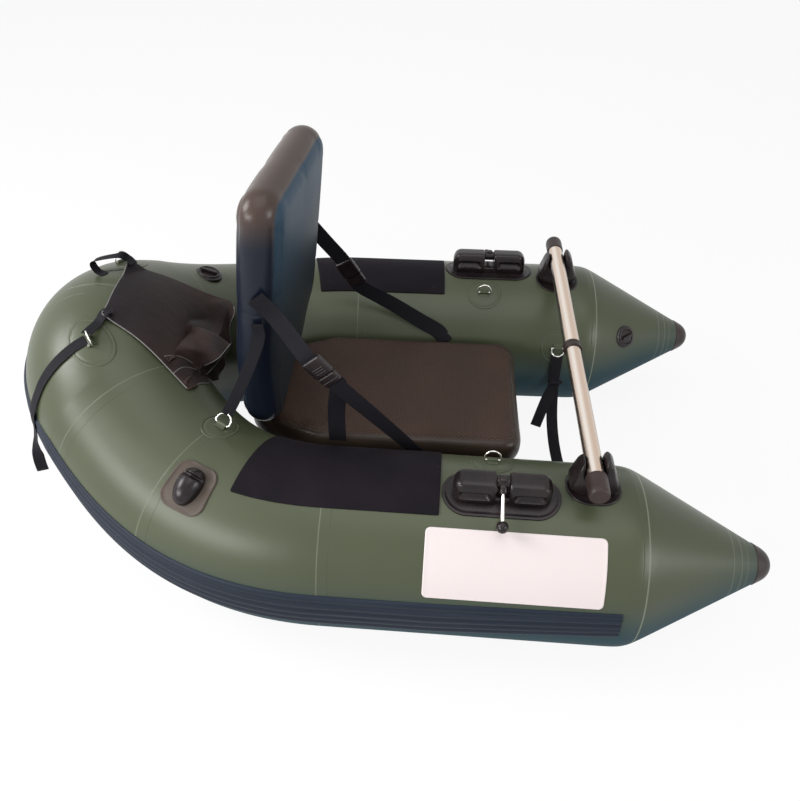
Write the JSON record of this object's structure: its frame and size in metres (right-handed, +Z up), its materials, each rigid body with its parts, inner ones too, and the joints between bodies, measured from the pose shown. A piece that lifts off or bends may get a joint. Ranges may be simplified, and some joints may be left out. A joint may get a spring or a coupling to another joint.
{
  "type": "inflatable boat",
  "caption": "Open-fronted inflatable float boat with cone-tipped side tubes, seat with folding backrest, oarlocks, telescoping bar and rear cargo cover.",
  "frame": {"origin": "on the floor under the middle of the hull's bounding box", "axes": "+X toward the bow tips, +Y to port, +Z up"},
  "size_m": [1.6787, 1.1854, 0.8767],
  "materials": {
    "hull_skin": "olive coated fabric, satin",
    "black_rubber": "moulded, matte",
    "strake_rubber": "ribbed extrusion, satin",
    "wear_foam": "foam sheet, matte",
    "pale_panel": "coated fabric, satin",
    "ring_patch": "coated fabric, satin",
    "ring_steel": "polished wire",
    "black_plastic": "moulded, satin",
    "bar_metal": "anodised, satin",
    "cushion_fabric": "coated fabric with a woven face",
    "cover_fabric": "coated nylon, satin",
    "sling_sheet": "coated fabric sheet",
    "baffle_skin": "coated fabric",
    "webbing": "woven webbing"
  },
  "bodies": {
    "hull": {"cargo_cover": "cover_fabric", "chamber_baffle": "baffle_skin", "front_strap": "webbing", "port_bar_cradle": "black_rubber", "port_bow_valve": "black_rubber", "port_buckle_socket": "black_plastic", "port_cone": "hull_skin", "port_front_ring_tab": "ring_patch", "port_handle": "black_rubber", "port_inner_ring_tab": "ring_patch", "port_lower_strap": "webbing", "port_main_valve": "black_rubber", "port_nose_cap": "black_rubber", "port_oarlock": "black_plastic", "port_side_panel": "pale_panel", "port_stern_ring_tab": "ring_patch", "port_tube": "hull_skin", "port_upper_strap": "webbing", "port_wear_pad": "wear_foam", "rubbing_strake": "strake_rubber", "seat_cushion": "cushion_fabric", "seat_sling": "sling_sheet", "seat_valve": "black_plastic", "starboard_bar_cradle": "black_rubber", "starboard_buckle_socket": "black_plastic", "starboard_cone": "hull_skin", "starboard_front_ring_tab": "ring_patch", "starboard_handle": "black_rubber", "starboard_inner_ring_tab": "ring_patch", "starboard_lower_strap": "webbing", "starboard_nose_cap": "black_rubber", "starboard_oarlock": "black_plastic", "starboard_rear_strap": "webbing", "starboard_side_panel": "pale_panel", "starboard_side_ring_tab": "ring_patch", "starboard_stern_ring_tab": "ring_patch", "starboard_tube": "hull_skin", "starboard_upper_strap": "webbing", "starboard_wear_pad": "wear_foam", "stern_strap": "webbing"},
    "backrest": {"backrest": "cushion_fabric", "backrest_valve": "black_plastic"},
    "bar": {"bar_outer_tube": "bar_metal", "port_bar_cap": "black_rubber"},
    "bar_end": {"bar_inner_tube": "bar_metal", "starboard_bar_cap": "black_rubber"},
    "bar_collar": {"bar_collar": "black_plastic"},
    "port_oarlock_pin": {"port_oarlock_pin": "black_plastic"},
    "port_buckle_plug": {"port_buckle_plug": "black_plastic"},
    "starboard_oarlock_pin": {"starboard_oarlock_pin": "black_plastic"},
    "starboard_buckle_plug": {"starboard_buckle_plug": "black_plastic"},
    "starboard_front_ring": {"starboard_front_ring": "ring_steel"},
    "port_front_ring": {"port_front_ring": "ring_steel"},
    "starboard_inner_ring": {"starboard_inner_ring": "ring_steel"},
    "port_inner_ring": {"port_inner_ring": "ring_steel"},
    "starboard_side_ring": {"starboard_side_ring": "ring_steel"},
    "starboard_stern_ring": {"starboard_stern_ring": "ring_steel"},
    "port_stern_ring": {"port_stern_ring": "ring_steel"},
    "port_main_valve_cap": {"port_main_valve_cap": "black_plastic"},
    "port_bow_valve_cap": {"port_bow_valve_cap": "black_plastic"}
  },
  "joints": [
    {"name": "backrest_fold", "type": "hinge", "parent": "hull", "child": "backrest", "pos_m": [-0.26935, 0, 0.34515], "axis": [0, 1, 0], "range_deg": [-10, 77], "deforming": ["port_upper_strap", "starboard_upper_strap", "starboard_rear_strap"]},
    {"name": "bar_lift", "type": "slide", "parent": "hull", "child": "bar", "axis": [0, 0, 1], "range_m": [0, 0.15]},
    {"name": "bar_telescope", "type": "slide", "parent": "bar", "child": "bar_end", "axis": [0, -1, 0], "range_m": [-0.008, 0.07]},
    {"name": "bar_collar_twist", "type": "hinge", "parent": "bar", "child": "bar_collar", "pos_m": [0.42565, 0, 0.44], "axis": [0, 1, 0], "range_deg": [0, 90]},
    {"name": "port_oarlock_swing", "type": "hinge", "parent": "hull", "child": "port_oarlock_pin", "pos_m": [0.25012, 0.41918, 0.4169], "axis": [0.9998, 0.022, 0], "range_deg": [-4, 105]},
    {"name": "starboard_oarlock_swing", "type": "hinge", "parent": "hull", "child": "starboard_oarlock_pin", "pos_m": [0.25012, -0.41918, 0.4169], "axis": [-0.9998, 0.022, 0], "range_deg": [-4, 105]},
    {"name": "starboard_front_ring_swing", "type": "hinge", "parent": "hull", "child": "starboard_front_ring", "pos_m": [0.23752, -0.30982, 0.36632], "axis": [0.9998, -0.022, 0], "range_deg": [-105, 65]},
    {"name": "port_front_ring_swing", "type": "hinge", "parent": "hull", "child": "port_front_ring", "pos_m": [0.23745, 0.31301, 0.36778], "axis": [-0.9998, -0.022, 0], "range_deg": [-105, 65]},
    {"name": "starboard_inner_ring_swing", "type": "hinge", "parent": "hull", "child": "starboard_inner_ring", "pos_m": [0.44062, -0.21653, 0.2651], "axis": [0.9998, -0.022, 0], "range_deg": [0, 175], "deforming": ["front_strap"]},
    {"name": "port_inner_ring_swing", "type": "hinge", "parent": "hull", "child": "port_inner_ring", "pos_m": [0.44062, 0.21653, 0.2651], "axis": [-0.9998, -0.022, 0], "range_deg": [0, 175], "deforming": ["front_strap"]},
    {"name": "starboard_side_ring_swing", "type": "hinge", "parent": "hull", "child": "starboard_side_ring", "pos_m": [-0.33471, -0.26765, 0.39207], "axis": [0.879, -0.4427, -0.1774], "range_deg": [-50, 120], "deforming": ["starboard_rear_strap"]},
    {"name": "starboard_stern_ring_swing", "type": "hinge", "parent": "hull", "child": "starboard_stern_ring", "pos_m": [-0.62068, -0.16305, 0.51607], "axis": [0.5398, -0.8142, -0.2136], "range_deg": [-85, 85]},
    {"name": "port_stern_ring_swing", "type": "hinge", "parent": "hull", "child": "port_stern_ring", "pos_m": [-0.64268, 0.126, 0.53194], "axis": [-0.5141, -0.8449, 0.148], "range_deg": [-85, 85]},
    {"name": "port_main_valve_cap_turn", "type": "hinge", "parent": "hull", "child": "port_main_valve_cap", "pos_m": [-0.47188, 0.22717, 0.44166], "axis": [0.2648, 0.0994, 0.9592], "range_deg": [0, 90]},
    {"name": "port_bow_valve_cap_turn", "type": "hinge", "parent": "hull", "child": "port_bow_valve_cap", "pos_m": [0.6303, 0.28743, 0.26244], "axis": [0.4895, -0.7282, 0.4797], "range_deg": [0, 90]},
    {"name": "port_buckle_release", "type": "slide", "parent": "hull", "child": "port_buckle_plug", "axis": [0.5272, 0, -0.8498], "range_m": [0, 0.035], "deforming": ["port_lower_strap"]},
    {"name": "starboard_buckle_release", "type": "slide", "parent": "hull", "child": "starboard_buckle_plug", "axis": [0.6455, 0, -0.7637], "range_m": [0, 0.035], "deforming": ["starboard_lower_strap"]}
  ]
}
